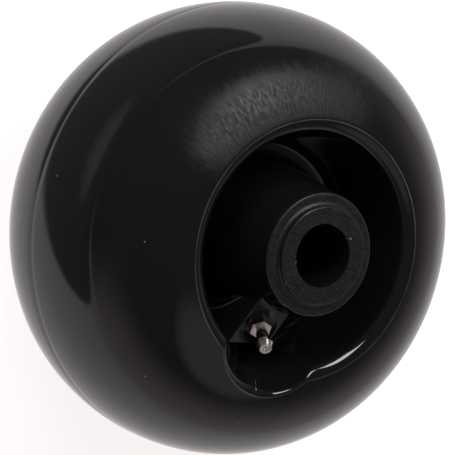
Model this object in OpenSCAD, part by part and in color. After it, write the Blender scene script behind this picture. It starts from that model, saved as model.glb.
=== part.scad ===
// Barrel wheel that carries the deck of a mowing machine over rough ground.
// The wheel is one moulding: a round barrel, a hub for a plain axle, and a deep pocket
// between them on each side. A pad in the upper pocket carries a grease fitting, and
// the barrel's lip is scooped out beside it so that a grease gun can reach.
// The axle runs along Z and the middle of the wheel is at the origin. The fitting's
// side is up, and the fitting leans towards -Y.

/* [Barrel] */
// Diameter over the middle of the rolling face
wheel_diameter = 190.5; // [182:0.5:200]
// Width of the barrel between its two shoulders
barrel_width = 118; // [114:0.5:122]
// Radius at which the barrel's side stands square to the axle
shoulder_radius = 45; // [43:0.5:47]
// Exponent of the barrel's outline, where 2 is an ellipse and more is squarer
barrel_exponent = 2.1; // [2:0.05:2.4]

/* [Mouth of the pocket] */
// Diameter of the crisp edge round the mouth
mouth_diameter = 107.5; // [105:0.5:110]
// Width of the bevel inside that edge, across the axle
bevel_width = 5; // [4:0.1:6]
// Depth of the bevel along the axle
bevel_depth = 4.5; // [3.5:0.1:5.5]
// Radius that blends the bevel into the pocket's wall
bevel_blend = 5; // [3:0.1:6]

/* [Pocket] */
// Height of the pocket's floor above the middle of the wheel
floor_height = 18; // [15:0.5:22]
// Radius of the middle of the floor
floor_radius = 37; // [36:0.1:38]
// Width of the flat floor, measured between its two blended corners' vertices
floor_width = 7; // [6:0.1:8]
// Radius of the blends at the floor's two corners
floor_blend = 3.2; // [2:0.1:3.4]

/* [Hub] */
// Length of the hub over its two raised ends
hub_length = 138; // [134:0.5:142]
// Diameter of the hub's ring at each end
hub_ring_diameter = 50.3; // [48:0.1:53]
// Diameter of the raised end that rubs on the frame
raised_diameter = 40.2; // [38:0.1:42]
// Height of the raised end above the ring
raised_height = 2.8; // [2:0.1:4]
// Radius on the ring's outer edge
ring_edge = 1; // [0.6:0.1:1.4]
// Radius on the raised end's outer edge
raised_edge = 0.7; // [0.4:0.1:1]
// Bevel at each end of the axle bore
bore_bevel = 0.4; // [0.2:0.1:0.8]

/* [Axle] */
// Diameter of the axle that the wheel runs on
axle_diameter = 25.4; // [24:0.1:26]
// Running clearance on the axle's diameter
axle_clearance = 0.25; // [0.15:0.05:0.4]

/* [Pad for the fitting] */
// Width of the pad, which stands out from the side of the hub
pad_width = 16; // [14:0.1:18]
// Height of the pad's face at the fitting, above the middle of the wheel
pad_height = 54.6; // [53:0.1:56]
// Slope of the pad's face, down towards the barrel
pad_slope = 13; // [11:0.5:16]
// Distance from the axle's axis to the middle of the pad's outer end
pad_reach = 43.6; // [43:0.1:45]
// Turn of the pad's outer end away from square
pad_end_turn = 27; // [20:1:30]
// Depth of the flat on the hub's ring, which clears the fitting
flat_depth = 0.4; // [0.2:0.1:0.8]

/* [Scoop in the lip] */
// Diameter of the scoop
scoop_diameter = 47.2; // [44:0.2:50]
// Distance from the axle's axis to the scoop's own axis, at the height of the mouth
scoop_radius = 35.8; // [34:0.1:38]
// Lean of the scoop away from the axle's direction
scoop_lean = 35; // [32:0.5:36]
// Turn of the scoop round the axle from the fitting
scoop_turn = 9.5; // [7:0.5:11]

/* [Grease fitting] */
// Distance from the axle's axis to the middle of the fitting's seat
seat_radius = 34.1; // [33.5:0.1:34.5]
// Height of the middle of the fitting's seat above the middle of the wheel
seat_height = 51.7; // [51:0.1:52.5]
// Lean of the fitting away from the axle's direction
fitting_lean = 35; // [33:0.5:38]
// Diameter of the round spot face that is cut for the fitting
spot_diameter = 14.4; // [13:0.1:15]
// Size of the fitting's hexagon across its flats
hex_across = 7.9; // [7:0.1:8.5]
// Thickness of the hexagon
hex_height = 5; // [4:0.1:6]
// Height of the fitting above its seat
fitting_height = 16.5; // [15:0.1:17.5]
// Diameter of the fitting's head
head_diameter = 6.8; // [6.4:0.1:7]
// Diameter of the neck under the head
neck_diameter = 5; // [4.7:0.1:5.2]
// Diameter of the flat tip
tip_diameter = 5; // [4.6:0.1:5.3]
// Outer diameter of the fitting's thread
thread_diameter = 6.35; // [6:0.05:6.5]
// Length of the threaded shank below the seat
thread_length = 6; // [5:0.1:7]
// Diameter of the grease passage from the fitting to the axle bore
passage_diameter = 3.6; // [3:0.1:4.5]

/* [Valve in the fitting] */
// Diameter of the check ball
ball_diameter = 2.8; // [2.7:0.05:2.9]
// Diameter of the opening that the ball closes
opening_diameter = 2.2; // [2:0.05:2.3]
// Diameter of the chamber that the ball slides in
chamber_diameter = 3.2; // [3.1:0.05:3.3]
// Length of the chamber below the opening
chamber_length = 8; // [7.5:0.1:8.5]
// Diameter of the way out at the foot of the chamber
outlet_diameter = 1.8; // [1.5:0.05:2]
// Wire diameter of the valve's spring
wire_diameter = 0.35; // [0.3:0.01:0.4]
// Gap between the spring and the chamber's wall
spring_gap = 0.1; // [0.08:0.01:0.15]
// Turns of the spring
spring_turns = 5; // [4:0.5:6]

/* [Hidden] */

// Colours
plastic_black = [0.06, 0.065, 0.07];
plated_steel = [0.78, 0.76, 0.72];
ball_steel = [0.7, 0.7, 0.72];
spring_steel = [0.55, 0.55, 0.56];

// Fineness of the round shapes
barrel_facets = 144;
bore_facets = 96;
small_facets = 48;
outline_steps = 18;
blend_steps = 5;
edge_steps = 3;

// Barrel
wheel_radius = wheel_diameter / 2;
half_width = barrel_width / 2;
crown_rise = wheel_radius - shoulder_radius;
mouth_radius = mouth_diameter / 2;
mouth_angle = acos(pow((mouth_radius - shoulder_radius) / crown_rise, barrel_exponent / 2));
mouth_height = half_width * pow(sin(mouth_angle), 2 / barrel_exponent);

// Hub
half_hub = hub_length / 2;
bore_radius = (axle_diameter + axle_clearance) / 2;
raised_radius = raised_diameter / 2;
ring_radius = hub_ring_diameter / 2;
ring_height = half_hub - raised_height;

// Fitting
through = 1;
head_height = 4.6;
tip_height = 2.1;
corner_across = hex_across / cos(30);
seat_sink = thread_length + through;
flat_foot = pad_height + (seat_radius - ring_radius) * tan(pad_slope);
ball_radius = ball_diameter / 2;
// The ball closes the opening, so its middle lies below the opening's rim
ball_drop = sqrt(pow(ball_radius, 2) - pow(opening_diameter / 2, 2));
rim_thickness = 0.5;
seat_gap = 0.02;
ball_height = fitting_height - rim_thickness - ball_drop - seat_gap;
chamber_top = fitting_height - rim_thickness;
chamber_foot = chamber_top - chamber_length;
spring_radius = chamber_diameter / 2 - spring_gap - wire_diameter / 2;
// The top turn bears on the ball where the ball's surface is as wide as the coil
spring_contact = sqrt(pow(ball_radius + wire_diameter / 2, 2) - pow(spring_radius, 2));
spring_top = ball_height - spring_contact;
spring_foot = chamber_foot + wire_diameter / 2;

// Points of a circular arc from angle a to angle b
function arc(centre, radius, a, b, steps) =
    [for (i = [0:steps])
        let (angle = a + (b - a) * i / steps)
        centre + radius * [cos(angle), sin(angle)]];

function unit(v) = v / norm(v);

// Shortest way round from angle a to angle b
function turn_to(a, b) = a + ((b - a + 540) % 360) - 180;

// Corner p between the points before and after it, rounded to the given radius
function rounded(before, p, after, radius, steps) =
    let (
        u = unit(before - p),
        v = unit(after - p),
        half = acos(u * v) / 2,
        centre = p + unit(u + v) * radius / sin(half),
        from = p + u * radius / tan(half) - centre,
        to = p + v * radius / tan(half) - centre,
        a = atan2(from[1], from[0])
    )
    arc(centre, radius, a, turn_to(a, atan2(to[1], to[0])), steps);

// Superellipse of the barrel, from the mouth's edge to the middle of the rolling face
function barrel_outline() =
    [for (i = [0:outline_steps])
        let (t = mouth_angle * (1 - i / outline_steps))
        [shoulder_radius + crown_rise * pow(cos(t), 2 / barrel_exponent),
         half_width * pow(sin(t), 2 / barrel_exponent)]];

// Half of the wheel's section, from the bore round to the rolling face
function half_section() =
    let (
        hub_foot = [floor_radius - floor_width / 2, floor_height],
        wall_foot = [floor_radius + floor_width / 2, floor_height],
        wall_top = [mouth_radius - bevel_width, mouth_height - bevel_depth],
        ring_edge_point = [ring_radius, ring_height],
        raised_edge_point = [raised_radius, half_hub],
        mouth_edge = [mouth_radius, mouth_height]
    )
    concat(
        [[bore_radius, half_hub - bore_bevel], [bore_radius + bore_bevel, half_hub]],
        rounded([bore_radius, half_hub], raised_edge_point, [raised_radius, ring_height],
                raised_edge, edge_steps),
        [[raised_radius, ring_height]],
        rounded([raised_radius, ring_height], ring_edge_point, hub_foot, ring_edge, edge_steps),
        rounded(ring_edge_point, hub_foot, wall_foot, floor_blend, blend_steps),
        rounded(hub_foot, wall_foot, wall_top, floor_blend, blend_steps),
        rounded(wall_foot, wall_top, mouth_edge, bevel_blend, blend_steps),
        barrel_outline()
    );

// The section is the same on both sides of the middle
function mirrored(points) = [for (i = [len(points) - 2:-1:0]) [points[i][0], -points[i][1]]];

module wheel_section() {
    upper = half_section();
    polygon(concat(upper, mirrored(upper)));
}

// Puts a shape into the fitting's own axes: its seat at the origin, its tip along +Z
module at_fitting() {
    translate([0, -seat_radius, seat_height])
        rotate([fitting_lean, 0, 0])
            children();
}

// Block on the side of the hub, with a sloping face for the fitting
module pad() {
    inner = (raised_radius + bore_radius) / 2;
    inner_height = pad_height + (seat_radius - inner) * tan(pad_slope);
    outer_height = pad_height - (wheel_radius - seat_radius) * tan(pad_slope);
    difference() {
        rotate([90, 0, -90])
            translate([0, 0, -pad_width / 2])
                linear_extrude(pad_width)
                    polygon([[inner, 0], [wheel_radius, 0], [wheel_radius, outer_height],
                             [inner, inner_height]]);
        translate([0, -pad_reach, 0])
            rotate([0, 0, pad_end_turn])
                translate([-wheel_radius, -wheel_diameter, -through])
                    cube(wheel_diameter);
    }
}

// Round recess through the barrel's lip, which dies out down the pocket's wall
module scoop() {
    difference() {
        rotate([0, 0, scoop_turn])
            translate([0, -scoop_radius, mouth_height])
                rotate([scoop_lean, 0, 0])
                    translate([0, 0, -wheel_radius / 2])
                        cylinder(h = wheel_radius, d = scoop_diameter, $fn = bore_facets);
        cylinder(h = wheel_diameter, r = floor_radius, $fn = bore_facets);
        translate([-wheel_radius, -wheel_radius, floor_height - wheel_diameter])
            cube(wheel_diameter);
    }
}

module wheel_body() {
    color(plastic_black)
        difference() {
            union() {
                difference() {
                    rotate_extrude($fn = barrel_facets) wheel_section();
                    scoop();
                }
                pad();
            }
            // Round face for the fitting, its threaded hole, and the way to the axle
            at_fitting() {
                cylinder(h = seat_radius, d = spot_diameter, $fn = small_facets);
                translate([0, 0, -seat_sink])
                    cylinder(h = seat_sink + through, d = thread_diameter, $fn = small_facets);
                translate([0, 0, -seat_height])
                    cylinder(h = seat_height, d = passage_diameter, $fn = small_facets);
            }
            // Flat on the hub's ring
            translate([-ring_radius, flat_depth - 2 * ring_radius, flat_foot])
                cube([2 * ring_radius, ring_radius, half_hub]);
        }
}

// Turned and milled fitting: hexagon, neck, head and shank, drilled right through
module grease_fitting() {
    shank_radius = thread_diameter / 2;
    color(plated_steel)
        at_fitting()
            difference() {
                union() {
                    cylinder(h = hex_height, d = corner_across, $fn = 6);
                    rotate_extrude($fn = small_facets)
                        polygon([
                            [0, -thread_length],
                            [shank_radius - 0.6, -thread_length],
                            [shank_radius, -thread_length + 0.6],
                            [shank_radius, 0],
                            [shank_radius, hex_height / 2],
                            [neck_diameter / 2, hex_height],
                            [neck_diameter / 2, fitting_height - head_height],
                            [head_diameter / 2, fitting_height - tip_height - 0.4],
                            [head_diameter / 2, fitting_height - tip_height],
                            [tip_diameter / 2, fitting_height],
                            [0, fitting_height]
                        ]);
                }
                translate([0, 0, -seat_sink])
                    cylinder(h = seat_sink + fitting_height + through, d = outlet_diameter,
                             $fn = small_facets);
                translate([0, 0, chamber_foot])
                    cylinder(h = chamber_length, d = chamber_diameter, $fn = small_facets);
                translate([0, 0, chamber_foot])
                    cylinder(h = chamber_length + through * 2, d = opening_diameter,
                             $fn = small_facets);
            }
}

module check_ball() {
    color(ball_steel)
        at_fitting()
            translate([0, 0, ball_height])
                sphere(d = ball_diameter, $fn = small_facets);
}

module valve_spring() {
    color(spring_steel)
        at_fitting()
            coil(spring_radius, wire_diameter / 2, spring_foot, spring_top, spring_turns);
}

// Round wire wound from one height to another
module coil(radius, wire, foot, top, turns) {
    steps = round(turns * 14);
    sides = 6;
    rings = [for (i = [0:steps])
        let (angle = turns * 360 * i / steps, z = foot + (top - foot) * i / steps)
        for (k = [0:sides - 1])
            let (s = 360 * k / sides, r = radius + wire * cos(s))
            [r * cos(angle), r * sin(angle), z + wire * sin(s)]];
    walls = [for (i = [0:steps - 1])
        for (k = [0:sides - 1])
            let (a = i * sides + k, b = i * sides + (k + 1) % sides)
            [a, a + sides, b + sides, b]];
    foot_cap = [for (k = [0:sides - 1]) k];
    top_cap = [for (k = [sides - 1:-1:0]) steps * sides + k];
    polyhedron(rings, concat(walls, [foot_cap, top_cap]));
}

wheel_body();
grease_fitting();
check_ball();
valve_spring();
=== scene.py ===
"""Looks of the barrel wheel: black moulding, plated grease fitting, studio light."""
import math

import bpy
import numpy as np
from mathutils import Matrix, Vector


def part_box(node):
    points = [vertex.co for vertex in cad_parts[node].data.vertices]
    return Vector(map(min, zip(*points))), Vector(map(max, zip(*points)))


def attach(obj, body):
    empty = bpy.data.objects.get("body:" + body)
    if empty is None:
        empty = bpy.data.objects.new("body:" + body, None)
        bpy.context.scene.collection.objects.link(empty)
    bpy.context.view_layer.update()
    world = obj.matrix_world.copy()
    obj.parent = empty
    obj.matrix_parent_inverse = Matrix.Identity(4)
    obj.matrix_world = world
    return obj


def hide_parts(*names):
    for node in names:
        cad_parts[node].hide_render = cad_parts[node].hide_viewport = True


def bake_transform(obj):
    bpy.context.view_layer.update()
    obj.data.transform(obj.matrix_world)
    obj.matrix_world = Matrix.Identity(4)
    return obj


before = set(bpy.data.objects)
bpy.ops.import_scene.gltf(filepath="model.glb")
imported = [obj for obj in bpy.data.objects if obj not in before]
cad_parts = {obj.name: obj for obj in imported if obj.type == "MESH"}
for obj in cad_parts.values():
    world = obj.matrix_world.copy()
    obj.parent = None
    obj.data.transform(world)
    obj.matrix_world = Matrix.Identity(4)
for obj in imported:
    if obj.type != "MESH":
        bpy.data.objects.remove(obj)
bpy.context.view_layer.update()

# Camera. It looks down on the wheel, with the fitting's side towards it and the axle
# pointing up to the right of the picture.
camera_turn = math.radians(29)
camera_right = Vector((0.837, 0.0889, 0.5399))
camera_up = Vector((0.0, 0.9867, -0.1625))
camera_back = Vector((-0.5472, 0.136, 0.8259))
camera_distance = 1.158
camera_slide = -0.001134
camera_lift = 0.000249
picture_size = 455
focal_pixels = 2752.2
sensor = 36

turn = Matrix.Rotation(camera_turn, 3, "Z")
right, up, back = turn @ camera_right, turn @ camera_up, turn @ camera_back
camera = bpy.data.objects.new("camera", bpy.data.cameras.new("camera"))
bpy.context.scene.collection.objects.link(camera)
camera.matrix_world = Matrix.Translation(
    right * camera_slide + up * camera_lift + back * camera_distance
) @ Matrix((right, up, back)).transposed().to_4x4()
camera.data.sensor_width = sensor
camera.data.lens = focal_pixels / picture_size * sensor
camera.data.clip_end = 20
bpy.context.scene.camera = camera
bpy.context.scene.view_settings.view_transform = "Standard"


def add_node(tree, kind, settings=None, **inputs):
    """A shader node with its settings and inputs; an input is a number or another socket."""
    node = tree.nodes.new(kind)
    for name, value in (settings or {}).items():
        setattr(node, name, value)
    for name, value in inputs.items():
        by_number = name[0] == "i" and name[1:].isdigit()
        socket = node.inputs[int(name[1:]) if by_number else name]
        if isinstance(value, bpy.types.NodeSocket):
            tree.links.new(value, socket)
        else:
            socket.default_value = value
    return node


def fade(tree, value, start, end, low=0.0, high=1.0):
    """Smooth step of a socket, from low at start to high at end."""
    return add_node(
        tree, "ShaderNodeMapRange", {"interpolation_type": "SMOOTHSTEP"},
        i0=value, i1=start, i2=end, i3=low, i4=high,
    ).outputs[0]


def calc(tree, operation, *values):
    """Result of a math node on sockets or numbers."""
    return add_node(
        tree, "ShaderNodeMath", {"operation": operation},
        **{f"i{i}": value for i, value in enumerate(values)},
    ).outputs[0]


# Surroundings. A dim room, with a warm pale horizon on the side of the fitting and the
# right, and white wherever the camera looks straight at it.
room_colour = (0.085, 0.09, 0.092, 1)
horizon_colour = (0.62, 0.51, 0.5, 1)
horizon_side = (0.8, -0.6, 0)
reflector_colour = (0.4, 0.365, 0.41, 1)
reflector_way = (0.45, -0.43, 0.78)

world = bpy.data.worlds.new("studio")
bpy.context.scene.world = world
world.use_nodes = True
tree = world.node_tree
direction = add_node(tree, "ShaderNodeTexCoord").outputs["Generated"]
height = add_node(tree, "ShaderNodeSeparateXYZ", i0=direction).outputs[2]
side = add_node(
    tree, "ShaderNodeVectorMath", {"operation": "DOT_PRODUCT"}, i0=direction, i1=horizon_side
).outputs["Value"]
glow = calc(tree, "MULTIPLY", fade(tree, height, 0.62, 0.0), fade(tree, side, -0.35, 0.45))
room = add_node(
    tree, "ShaderNodeMix", {"data_type": "RGBA"}, Factor=glow, i6=room_colour, i7=horizon_colour
).outputs[2]
towards = add_node(
    tree, "ShaderNodeVectorMath", {"operation": "DOT_PRODUCT"}, i0=direction, i1=reflector_way
).outputs["Value"]
room = add_node(
    tree, "ShaderNodeMix", {"data_type": "RGBA"},
    Factor=fade(tree, towards, 0.915, 0.975), i6=room, i7=reflector_colour,
).outputs[2]
seen = add_node(tree, "ShaderNodeLightPath").outputs
shown = calc(tree, "MAXIMUM", seen["Is Camera Ray"], seen["Is Transmission Ray"])
colour = add_node(
    tree, "ShaderNodeMix", {"data_type": "RGBA"}, Factor=shown, i6=room, i7=(1, 1, 1, 1)
).outputs[2]
tree.links.new(colour, tree.nodes["Background"].inputs["Color"])

# Floor under the hub's end. It is white and keeps a faint shadow of the wheel. For glossy rays it
# glows with a painted reflection instead: what the barrel mirrors of it is dark on the left, apart
# from one pale glowing patch further off.
floor_size = 8.0
dark_side = (-2.1, 0.3, -0.069)
dark_radius = 1.99
pale_glow_centre = (-0.5, 0.0, -0.069)
floor_glow = 0.86

floor_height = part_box("wheel_body")[0].z
half = floor_size / 2
floor_mesh = bpy.data.meshes.new("floor")
floor_mesh.from_pydata(
    [(x, y, floor_height) for x, y in ((-half, -half), (half, -half), (half, half), (-half, half))],
    [], [(0, 1, 2, 3)],
)
floor = bpy.data.objects.new("floor", floor_mesh)
bpy.context.scene.collection.objects.link(floor)
paper = bpy.data.materials.new("white_paper")
paper.use_nodes = True
tree = paper.node_tree
place = add_node(tree, "ShaderNodeTexCoord").outputs["Object"]
away = add_node(
    tree, "ShaderNodeVectorMath", {"operation": "DISTANCE"}, i0=place, i1=dark_side
).outputs["Value"]
reach = add_node(tree, "ShaderNodeVectorMath", {"operation": "LENGTH"}, i0=place).outputs["Value"]
# Painted reflection: the floor's glow for glossy rays only. It dims further off, is dark on the
# left, and has one pale glowing patch.
glossy_glow_level = calc(
    tree, "MULTIPLY",
    fade(tree, away, dark_radius - 0.006, dark_radius + 0.012, 0.17, 1.0),
    fade(tree, reach, 0.3, 1.4, 0.86, 0.62),
)
near_patch = add_node(
    tree, "ShaderNodeVectorMath", {"operation": "DISTANCE"}, i0=place, i1=pale_glow_centre
).outputs["Value"]
glossy_glow_level = calc(tree, "MAXIMUM", glossy_glow_level, fade(tree, near_patch, 0.3, 0.08, 0.0, 0.42))
seen = add_node(tree, "ShaderNodeLightPath").outputs
shown = calc(tree, "MAXIMUM", seen["Is Camera Ray"], seen["Is Transmission Ray"])
level = add_node(
    tree, "ShaderNodeMix", {"data_type": "FLOAT"}, Factor=shown,
    i2=calc(tree, "MULTIPLY", glossy_glow_level, seen["Is Glossy Ray"]), i3=floor_glow,
).outputs[0]
shine = add_node(tree, "ShaderNodeEmission", Color=(1, 0.955, 0.95, 1), Strength=level)
matt = tree.nodes["Principled BSDF"]
matt.inputs["Base Color"].default_value = (0.62, 0.62, 0.62, 1)
matt.inputs["Roughness"].default_value = 0.9
matt.inputs["Specular IOR Level"].default_value = 0.0
unlit = add_node(tree, "ShaderNodeEmission", Color=(0, 0, 0, 1))
lit = add_node(
    tree, "ShaderNodeMixShader", i0=seen["Is Glossy Ray"], i1=matt.outputs[0], i2=unlit.outputs[0]
)
both = add_node(tree, "ShaderNodeAddShader", i0=lit.outputs[0], i1=shine.outputs[0])
tree.links.new(both.outputs[0], tree.nodes["Material Output"].inputs["Surface"])
floor_mesh.materials.append(paper)

# Lamps. One soft box up on the right gives the highlight above the mouth and on the lip,
# and a fill from the camera's side lights the floor and the pocket.
for name, way, size, watts in (
    ("soft_box", right * 0.6 + up * 0.5 + back * 0.62, 0.4, 5.6),
    ("fill", back + up * 0.9 - right * 0.2, 0.6, 5.0),
):
    lamp = bpy.data.objects.new(name, bpy.data.lights.new(name, "AREA"))
    lamp.data.size = size
    lamp.data.energy = watts
    lamp.data.color = (0.95, 0.97, 1.0)
    lamp.location = way.normalized() * 1.1
    lamp.rotation_euler = way.to_track_quat("Z", "Y").to_euler()
    bpy.context.scene.collection.objects.link(lamp)
bpy.data.objects["fill"].visible_glossy = False

# Wheel moulding. One injection moulding of gloss black plastic: barrel, side pockets and
# a long hub. A leaning round scoop cuts through the barrel's lip beside the fitting.
mm = 0.001
box_low, box_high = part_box("wheel_body")
margin = 0.01 * mm
wheel_radius = box_high.x - margin
half_hub = box_high.z - margin
shoulder_radius = 45 * mm
half_width = 59 * mm
barrel_exponent = 2.1
mouth_radius = 53.75 * mm
bore_radius = 12.825 * mm
bore_bevel = 0.4 * mm
raised_radius = 20.1 * mm
raised_edge = 0.7 * mm
ring_radius = 25.15 * mm
ring_edge = 0.9 * mm
ring_height = half_hub - 2.8 * mm
floor_level = 18 * mm
hub_foot = 33.5 * mm
wall_foot = 40.5 * mm
foot_blend = 2.6 * mm
wall_draft = 0.2098
lip_radius = 10.5 * mm
lip_slope = math.radians(6)
scoop_lip_radius = 6.4 * mm
scoop_lip_slope = math.radians(7)
scoop_inset = 2.6 * mm
cusp_inset = 1.0 * mm
corner_length = 1.9 * mm
scoop_azimuth = math.radians(-79.7)
scoop_radius = 32.2 * mm
scoop_half = 26 * mm
scoop_lean = math.radians(35)
fitting_azimuth = math.radians(-90)
flat_distance = 24.75 * mm
flat_lean = math.tan(math.radians(16.4))
parting_groove = 0.12 * mm
edge_line = 0.22 * mm
azimuths = 520

even = np.arange(azimuths) * 2 * np.pi / azimuths
azimuth = even - 0.5 * np.sin(even - scoop_azimuth)
from_scoop = (azimuth - scoop_azimuth + np.pi) % (2 * np.pi) - np.pi
crown_rise = wheel_radius - shoulder_radius


def smooth_max(a, b, blend):
    """The larger of two values, with the step between them rounded over blend."""
    return (a + b + np.sqrt((a - b) ** 2 + blend**2)) / 2


def barrel_height(radius):
    """Height of the barrel's superellipse at a radius from the axle."""
    share = np.clip((radius - shoulder_radius) / crown_rise, 0, 1)
    return half_width * (1 - share**barrel_exponent) ** (1 / barrel_exponent)


def scoop_reach(height):
    """Distance from the axle to the leaning cylinder's far side, at each azimuth and height.

    At one height the cylinder is an ellipse whose middle moves outward as it rises."""
    along = scoop_half / math.cos(scoop_lean)
    middle = scoop_radius + (height - barrel_height(mouth_radius)) * math.tan(scoop_lean)
    a = np.cos(from_scoop) ** 2 / along**2 + np.sin(from_scoop) ** 2 / scoop_half**2
    b = middle * np.cos(from_scoop) / along**2
    c = middle**2 / along**2 - 1
    inside = b**2 - a * c
    reach = (b + np.sqrt(np.maximum(inside, 0))) / a
    return np.where((inside > 0) & (np.abs(from_scoop) < 1.3), reach, 0.0)


def curve(start, corner, end, steps):
    """Rounded corner: a quadratic curve from start to end that leans on the corner."""
    t = np.linspace(0, 1, steps)[:, None]
    return [
        (1 - t) ** 2 * s + 2 * t * (1 - t) * c + t**2 * e
        for s, c, e in zip(start, corner, end)
    ]


def line(start, end, steps, power=1.0):
    """Straight rows from start to end, closer together at the start where power is over 1."""
    t = np.linspace(0, 1, steps)[:, None] ** power
    return [s + (e - s) * t for s, e in zip(start, end)]


def half_section(scooped, rows):
    """One side's rows at every azimuth, from the bore to the parting line, and its mouth row.

    The pocket's wall is the larger of the plain tapered wall and the scoop, and the lip
    is an arc that falls from the mouth's edge to that wall."""
    level = np.zeros(azimuths)
    reach = level
    for _ in range(12):
        reach = scoop_reach(barrel_height(np.maximum(reach, mouth_radius))) * scooped
    mouth = smooth_max(reach, mouth_radius + level, 0.5 * mm)
    edge = barrel_height(mouth)
    share = np.clip((mouth - mouth_radius) / (2 * mm), 0, 1)
    crown = lip_radius + (scoop_lip_radius - lip_radius) * share
    slope = lip_slope + (scoop_lip_slope - lip_slope) * share
    towards_cusp = np.clip((np.degrees(from_scoop) + 6) / 28, 0, 1)
    towards_cusp = towards_cusp**2 * (3 - 2 * towards_cusp)
    inset = scoop_inset + (cusp_inset - scoop_inset) * towards_cusp

    def wall(height):
        scoop = scoop_reach(height) * scooped
        skew = np.gradient(scoop, azimuth) / np.maximum(scoop, mm)
        plain = wall_foot + wall_draft * (height - floor_level)
        return smooth_max(plain, scoop - inset * np.minimum(np.sqrt(1 + skew**2), 2), 1.2 * mm)

    def drop(across):
        start = crown * np.sin(slope)
        run = np.minimum(across + start, 0.97 * crown)
        return crown * np.cos(slope) - np.sqrt(crown**2 - run**2)

    def hub(height):
        climbed = (height - floor_level) / (ring_height - floor_level)
        cone = hub_foot + (ring_radius - hub_foot) * climbed
        facing = np.cos(azimuth - fitting_azimuth)
        flat = (flat_distance + (ring_height - height) * flat_lean) / np.maximum(facing, 0.3)
        return np.minimum(cone, np.where(scooped, flat, 1.0))

    width = level + 5 * mm
    for _ in range(12):
        corner_height = edge - drop(width)
        width = np.maximum(mouth - wall(corner_height), 0.6 * mm)
    bend = np.minimum(corner_length, 0.4 * width)
    corner = (mouth - width, corner_height)
    below = (wall(corner_height - bend), corner_height - bend)
    above = (mouth - width + bend, edge - drop(width - bend))

    foot_top = floor_level + foot_blend
    hub_top = ring_height - ring_edge
    hub_heights = hub_top + (foot_top - hub_top) * np.linspace(0, 1, rows)[1:-1] ** 1.5
    parts = [
        line((level + bore_radius, level), (level + bore_radius, level + half_hub - bore_bevel), 4),
        line((level + bore_radius + bore_bevel, level + half_hub),
             (level + raised_radius - raised_edge, level + half_hub), 3),
        curve((level + raised_radius - raised_edge, level + half_hub),
              (level + raised_radius, level + half_hub),
              (level + raised_radius, level + half_hub - raised_edge), 4),
        line((level + raised_radius, level + ring_height),
             (hub(ring_height) - ring_edge, level + ring_height), 3),
        curve((hub(ring_height) - ring_edge, level + ring_height),
              (hub(ring_height), level + ring_height),
              (hub(ring_height - ring_edge), level + ring_height - ring_edge), 5),
        *[[np.array([hub(h)]), level[None] + h]
          for h in hub_heights],
        curve((hub(foot_top), level + foot_top), (hub(floor_level), level + floor_level),
              (level + hub_foot + foot_blend, level + floor_level), 5),
        curve((level + wall_foot - foot_blend, level + floor_level),
              (level + wall_foot, level + floor_level), (wall(foot_top), level + foot_top), 5),
    ]
    for t in np.linspace(0, 1, rows + 4)[1:-1]:
        height = foot_top + (below[1] - foot_top) * t
        parts.append([wall(height)[None], height[None]])
    parts.append(curve(below, corner, above, 6))
    for t in np.linspace(0, 1, 8)[1:]:
        across = np.maximum((width - bend) * (1 - t), edge_line * (t < 1))
        parts.append([(mouth - across)[None], (edge - drop(across))[None]])
    mouth_row = sum(len(p[0]) for p in parts) - 1
    start = np.arccos(((mouth - shoulder_radius) / crown_rise) ** (barrel_exponent / 2))
    spread = np.concatenate([[0.004], np.linspace(0, 1, 2 * rows)[1:-1], [0.994, 1.0]])
    t = start[None] * (1 - spread[:, None])
    barrel = [shoulder_radius + crown_rise * np.cos(t) ** (2 / barrel_exponent),
              half_width * np.sin(t) ** (2 / barrel_exponent)]
    barrel[0][-1] -= parting_groove
    parts.append(barrel)
    radii, heights = (np.concatenate([part[i] for part in parts]) for i in (0, 1))
    return radii, heights, mouth_row


upper_radius, upper_height, upper_mouth = half_section(1, 17)
lower_radius, lower_height, lower_mouth = half_section(0, 10)
radius = np.concatenate([upper_radius, lower_radius[-2:0:-1]])
height = np.concatenate([upper_height, -lower_height[-2:0:-1]])
rows = len(radius)
points = np.stack([radius * np.cos(azimuth), radius * np.sin(azimuth), height], -1).reshape(-1, 3)
row, column = np.meshgrid(np.arange(rows), np.arange(azimuths), indexing="ij")
next_row, next_column = (row + 1) % rows, (column + 1) % azimuths
faces = np.stack([
    row * azimuths + column, next_row * azimuths + column,
    next_row * azimuths + next_column, row * azimuths + next_column,
], -1).reshape(-1, 4)
corners = points[faces[:, :3]]
volume = np.einsum("ij,ij->i", corners[:, 0], np.cross(corners[:, 1], corners[:, 2])).sum()
if volume < 0:
    faces = faces[:, ::-1]

wheel_mesh = bpy.data.meshes.new("wheel_moulding")
wheel_mesh.from_pydata(points.tolist(), [], faces.tolist())
wheel_mesh.polygons.foreach_set("use_smooth", np.ones(len(wheel_mesh.polygons), bool))
ends = np.zeros(len(wheel_mesh.edges) * 2, np.int32)
wheel_mesh.edges.foreach_get("vertices", ends)
edge_rows = ends.reshape(-1, 2) // azimuths
lower_mouth_row = len(upper_radius) + len(lower_radius) - 2 - lower_mouth
bevel_rows = [3, 4, 10, rows - 3, rows - 4, rows - 10]
crisp = np.isin(edge_rows[:, 0], [upper_mouth, lower_mouth_row, *bevel_rows])
sharp = wheel_mesh.attributes.new("sharp_edge", "BOOLEAN", "EDGE")
sharp.data.foreach_set("value", crisp & (edge_rows[:, 0] == edge_rows[:, 1]))
# Painted highlight: the mouth rows are marked so that the material lightens them into a pale line.
painted_edge_highlight = wheel_mesh.attributes.new("painted_edge_highlight", "FLOAT", "POINT")
painted_edge_highlight.data.foreach_set(
    "value",
    np.isin(np.arange(len(points)) // azimuths, [upper_mouth, lower_mouth_row]).astype(np.float32),
)
wheel = bpy.data.objects.new("wheel_moulding", wheel_mesh)
bpy.context.scene.collection.objects.link(wheel)


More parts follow.
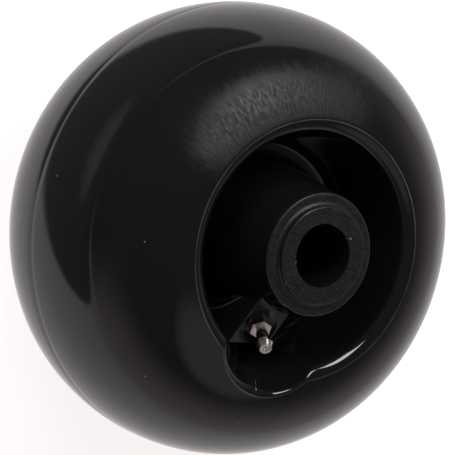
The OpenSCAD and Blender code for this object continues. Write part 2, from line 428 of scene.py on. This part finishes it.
def black_plastic(name):
    """Gloss black moulding with faint ripples, streaks by the mouth, dust, scuffed ends and a
    painted highlight along the mouth's edge.
    """
    material = bpy.data.materials.new(name)
    material.use_nodes = True
    tree = material.node_tree
    shader = tree.nodes["Principled BSDF"]
    place = add_node(tree, "ShaderNodeTexCoord").outputs["Object"]
    x, y, z = add_node(tree, "ShaderNodeSeparateXYZ", i0=place).outputs[:3]
    squares = [calc(tree, "MULTIPLY", side, side) for side in (x, y)]
    out = calc(tree, "SQRT", calc(tree, "ADD", *squares))

    # Flow streaks that run straight out from the axle
    around = add_node(
        tree, "ShaderNodeCombineXYZ",
        X=calc(tree, "DIVIDE", x, out),
        Y=calc(tree, "DIVIDE", y, out),
        Z=calc(tree, "MULTIPLY", out, 6.0),
    ).outputs[0]

    def noise(place, scale, detail, roughness=0.5):
        """Cloudy pattern of one size of grain."""
        return add_node(
            tree, "ShaderNodeTexNoise",
            Vector=place, Scale=scale, Detail=detail, Roughness=roughness,
        ).outputs[0]

    streaks = noise(around, 58.0, 4.0, 0.6)
    near_mouth = calc(
        tree, "MULTIPLY", fade(tree, out, 0.053, 0.056), fade(tree, out, 0.084, 0.066)
    )
    worn_side = calc(
        tree, "ADD", calc(tree, "MULTIPLY", x, -0.707), calc(tree, "MULTIPLY", y, 0.707)
    )
    worn_side = calc(tree, "DIVIDE", worn_side, out)
    near_mouth = calc(tree, "MULTIPLY", near_mouth, fade(tree, worn_side, 0.62, 0.93))
    ripple = noise(place, 70.0, 3.0)
    patches = noise(place, 26.0, 6.0, 0.65)

    # Faces that rub on the machine's frame
    end = fade(tree, calc(tree, "ABSOLUTE", z), 0.0655, 0.0661)
    end = calc(tree, "MULTIPLY", end, fade(tree, out, 0.0254, 0.0251))
    outward = add_node(tree, "ShaderNodeNewGeometry").outputs["True Normal"]
    facing = add_node(tree, "ShaderNodeSeparateXYZ", i0=outward).outputs[2]
    end = calc(tree, "MULTIPLY", end, fade(tree, calc(tree, "ABSOLUTE", facing), 0.6, 0.9))
    scuff_place = add_node(
        tree, "ShaderNodeMapping", Vector=place, Rotation=(0, 0, 0.6), Scale=(260, 1500, 260)
    ).outputs[0]
    scuffs = noise(scuff_place, 1.0, 6.0, 0.7)

    # Sparse dust
    cells = add_node(tree, "ShaderNodeTexVoronoi", Vector=place, Scale=110.0)
    lot = add_node(tree, "ShaderNodeSeparateColor", i0=cells.outputs["Color"]).outputs[0]
    near_middle = fade(tree, cells.outputs["Distance"], 0.055, 0.03)
    dust = calc(tree, "MULTIPLY", near_middle, fade(tree, lot, 0.82, 0.83))

    black = add_node(
        tree, "ShaderNodeMix", {"data_type": "RGBA"}, Factor=patches,
        i6=(0.0052, 0.0056, 0.0058, 1), i7=(0.0085, 0.0084, 0.0086, 1),
    ).outputs[2]
    rubbed = add_node(
        tree, "ShaderNodeMix", {"data_type": "RGBA"}, Factor=fade(tree, scuffs, 0.4, 0.68),
        i6=(0.006, 0.0052, 0.0042, 1), i7=(0.021, 0.0185, 0.0155, 1),
    ).outputs[2]
    colour = add_node(
        tree, "ShaderNodeMix", {"data_type": "RGBA"}, Factor=end, i6=black, i7=rubbed
    ).outputs[2]
    colour = add_node(
        tree, "ShaderNodeMix", {"data_type": "RGBA"}, Factor=dust, i6=colour, i7=(0.3, 0.29, 0.28, 1)
    ).outputs[2]
    # Painted highlight: a pale line along the mouth's edge, standing in for the light a rounded edge
    # would catch.
    edge = add_node(
        tree, "ShaderNodeAttribute", {"attribute_name": "painted_edge_highlight"}
    ).outputs["Fac"]
    painted_edge_line = calc(tree, "MULTIPLY", edge, fade(tree, patches, 0.3, 0.65, 0.2, 1.0))
    colour = add_node(
        tree, "ShaderNodeMix", {"data_type": "RGBA"},
        Factor=painted_edge_line, i6=colour, i7=(0.13, 0.125, 0.12, 1),
    ).outputs[2]
    tree.links.new(colour, shader.inputs["Base Color"])

    gloss = calc(tree, "ADD", fade(tree, patches, 0.35, 0.7, 0.05, 0.11),
                 calc(tree, "MULTIPLY", near_mouth, fade(tree, streaks, 0.35, 0.65, 0.36, 0.58)))
    gloss = add_node(
        tree, "ShaderNodeMix", {"data_type": "FLOAT"}, Factor=end, i2=gloss,
        i3=fade(tree, scuffs, 0.3, 0.7, 0.34, 0.55),
    ).outputs[0]
    tree.links.new(gloss, shader.inputs["Roughness"])
    shader.inputs["IOR"].default_value = 1.5

    fine = add_node(tree, "ShaderNodeBump", Strength=0.12, Distance=0.0003, Height=ripple).outputs[0]
    radial = add_node(
        tree, "ShaderNodeBump", Strength=0.45, Distance=0.0003,
        Height=calc(tree, "MULTIPLY", streaks, near_mouth), Normal=fine,
    ).outputs[0]
    worn = add_node(
        tree, "ShaderNodeBump", Strength=0.3, Distance=0.0002,
        Height=calc(tree, "MULTIPLY", scuffs, end), Normal=radial,
    ).outputs[0]
    tree.links.new(worn, shader.inputs["Normal"])
    return material


wheel_mesh.materials.append(black_plastic("gloss_black_moulding"))
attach(wheel, "wheel")
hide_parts("wheel_body")

# Pad for the fitting. It is part of the same moulding and stands out from the side of
# the hub, with a sloping face and a round spot face cut square to the fitting.
pad_half = 8 * mm
pad_height = 54.6 * mm
pad_slope = math.tan(math.radians(13))
pad_inner = 16.5 * mm
pad_reach = 43.6 * mm
pad_end_turn = math.tan(math.radians(27))
pad_foot = 15 * mm
seat_radius = 34.1 * mm
seat_height = 51.7 * mm
fitting_lean = math.radians(35)
spot_radius = 7.2 * mm
spot_length = 20 * mm


def closed_prism(low, high):
    """Mesh data of a solid between two rings of points, low and high, wound the same way."""
    n = len(low)
    k = np.arange(n)
    walls = np.stack([k, (k + 1) % n, (k + 1) % n + n, k + n], -1).tolist()
    return np.concatenate([low, high]).tolist(), [k[::-1].tolist(), (k + n).tolist(), *walls]


def solid(name, low, high):
    """Object of a closed prism."""
    points, faces = closed_prism(low, high)
    mesh = bpy.data.meshes.new(name)
    mesh.from_pydata(points, [], faces)
    made = bpy.data.objects.new(name, mesh)
    bpy.context.scene.collection.objects.link(made)
    return made


pad_x = np.array([-1, 1, 1, -1]) * pad_half
pad_y = np.array([0, 0, 1, 1.0])
pad_y = np.where(pad_y > 0, -pad_inner, -pad_reach + pad_end_turn * pad_x)
pad_top = pad_height + (seat_radius + pad_y) * pad_slope
pad_block = solid(
    "pad_block",
    np.stack([pad_x, pad_y, np.full(4, pad_foot)], -1),
    np.stack([pad_x, pad_y, pad_top], -1),
)
ring = np.arange(96) * 2 * np.pi / 96
circle = np.stack([np.cos(ring), np.sin(ring), 0 * ring], -1) * spot_radius
lean = np.array(Matrix.Rotation(fitting_lean, 3, "X"))
seat = np.array([0, -seat_radius, seat_height])
cutter = solid(
    "spot_cutter", circle @ lean.T + seat, (circle + [0, 0, spot_length]) @ lean.T + seat
)
cut = pad_block.modifiers.new("spot_face", "BOOLEAN")
cut.operation = "DIFFERENCE"
cut.solver = "EXACT"
cut.object = cutter
soften = pad_block.modifiers.new("moulded_edges", "BEVEL")
soften.width = 0.25 * mm
soften.segments = 2
soften.limit_method = "ANGLE"
bpy.context.view_layer.update()
pad_mesh = bpy.data.meshes.new_from_object(
    pad_block.evaluated_get(bpy.context.evaluated_depsgraph_get())
)
pad_mesh.name = "fitting_pad"
pad = bpy.data.objects.new("fitting_pad", pad_mesh)
bpy.context.scene.collection.objects.link(pad)
for tool in (cutter, pad_block):
    bpy.data.objects.remove(tool)
pad_mesh.polygons.foreach_set("use_smooth", np.ones(len(pad_mesh.polygons), bool))
pad_mesh.set_sharp_from_angle(angle=math.radians(25))
pad_mesh.materials.clear()
pad_mesh.materials.append(wheel_mesh.materials[0])
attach(pad, "wheel")

# Grease fitting and check ball. The fitting is turned and milled steel with bright zinc
# plate, and is screwed into the pad. The polished ball inside it closes its opening.


def steel(name, colour, rough, grain):
    """Bright metal with fine tool marks and slightly uneven gloss."""
    material = bpy.data.materials.new(name)
    material.use_nodes = True
    tree = material.node_tree
    shader = tree.nodes["Principled BSDF"]
    shader.inputs["Metallic"].default_value = 1.0
    place = add_node(tree, "ShaderNodeTexCoord").outputs["Object"]
    marks = add_node(tree, "ShaderNodeTexNoise", Vector=place, Scale=grain, Detail=5.0).outputs[0]
    stain = add_node(
        tree, "ShaderNodeTexNoise", Vector=place, Scale=grain / 4, Detail=3.0
    ).outputs[0]
    dull = tuple(c * 0.55 for c in colour[:3]) + (1,)
    tint = add_node(
        tree, "ShaderNodeMix", {"data_type": "RGBA"},
        Factor=fade(tree, stain, 0.5, 0.75), i6=colour, i7=dull,
    ).outputs[2]
    tree.links.new(tint, shader.inputs["Base Color"])
    tree.links.new(fade(tree, marks, 0.3, 0.7, rough * 0.7, rough * 1.5), shader.inputs["Roughness"])
    bump = add_node(tree, "ShaderNodeBump", Strength=0.15, Distance=0.0001, Height=marks).outputs[0]
    tree.links.new(bump, shader.inputs["Normal"])
    return material


for node, name, colour, rough, grain in (
    ("grease_fitting", "bright_zinc", (0.86, 0.82, 0.77, 1), 0.16, 900.0),
    ("check_ball", "polished_ball", (0.7, 0.7, 0.72, 1), 0.08, 1500.0),
    ("valve_spring", "drawn_wire", (0.55, 0.55, 0.56, 1), 0.3, 2500.0),
):
    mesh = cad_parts[node].data
    mesh.materials.clear()
    mesh.materials.append(steel(name, colour, rough, grain))

# Valve spring. A coil of drawn wire in the fitting's bore, which holds the ball shut until a grease
# gun lifts it off. Here it is one fixed coil.
spring_radius = 1.325 * mm
wire_radius = 0.175 * mm
spring_foot = 8.175 * mm
spring_top = 14.2625 * mm
spring_turns = 5
wire_sides = 10
wire_steps = 180

# A circle of wire carried up a helix: the circle stands in the plane of the axis
climb = np.linspace(0, 1, wire_steps)[:, None]
around = climb * spring_turns * 2 * np.pi
section = np.arange(wire_sides) * 2 * np.pi / wire_sides
reach = spring_radius + wire_radius * np.cos(section)
coil = np.stack([
    reach * np.cos(around), reach * np.sin(around),
    spring_foot + (spring_top - spring_foot) * climb + wire_radius * np.sin(section) + 0 * around,
], -1).reshape(-1, 3) @ lean.T + seat
step, wire_side = np.meshgrid(np.arange(wire_steps - 1), np.arange(wire_sides), indexing="ij")
beside = (wire_side + 1) % wire_sides
walls = np.stack([
    step * wire_sides + wire_side, (step + 1) * wire_sides + wire_side,
    (step + 1) * wire_sides + beside, step * wire_sides + beside,
], -1).reshape(-1, 4).tolist()
start_cap = list(range(wire_sides))
end_cap = [(wire_steps - 1) * wire_sides + k for k in reversed(start_cap)]
spring_mesh = bpy.data.meshes.new("spring_coil")
spring_mesh.from_pydata(coil.tolist(), [], [*walls, start_cap, end_cap])
spring_mesh.polygons.foreach_set("use_smooth", np.ones(len(spring_mesh.polygons), bool))
spring_mesh.materials.append(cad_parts["valve_spring"].data.materials[0])
spring = bpy.data.objects.new("spring_coil", spring_mesh)
bpy.context.scene.collection.objects.link(spring)
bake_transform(spring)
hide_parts("valve_spring")
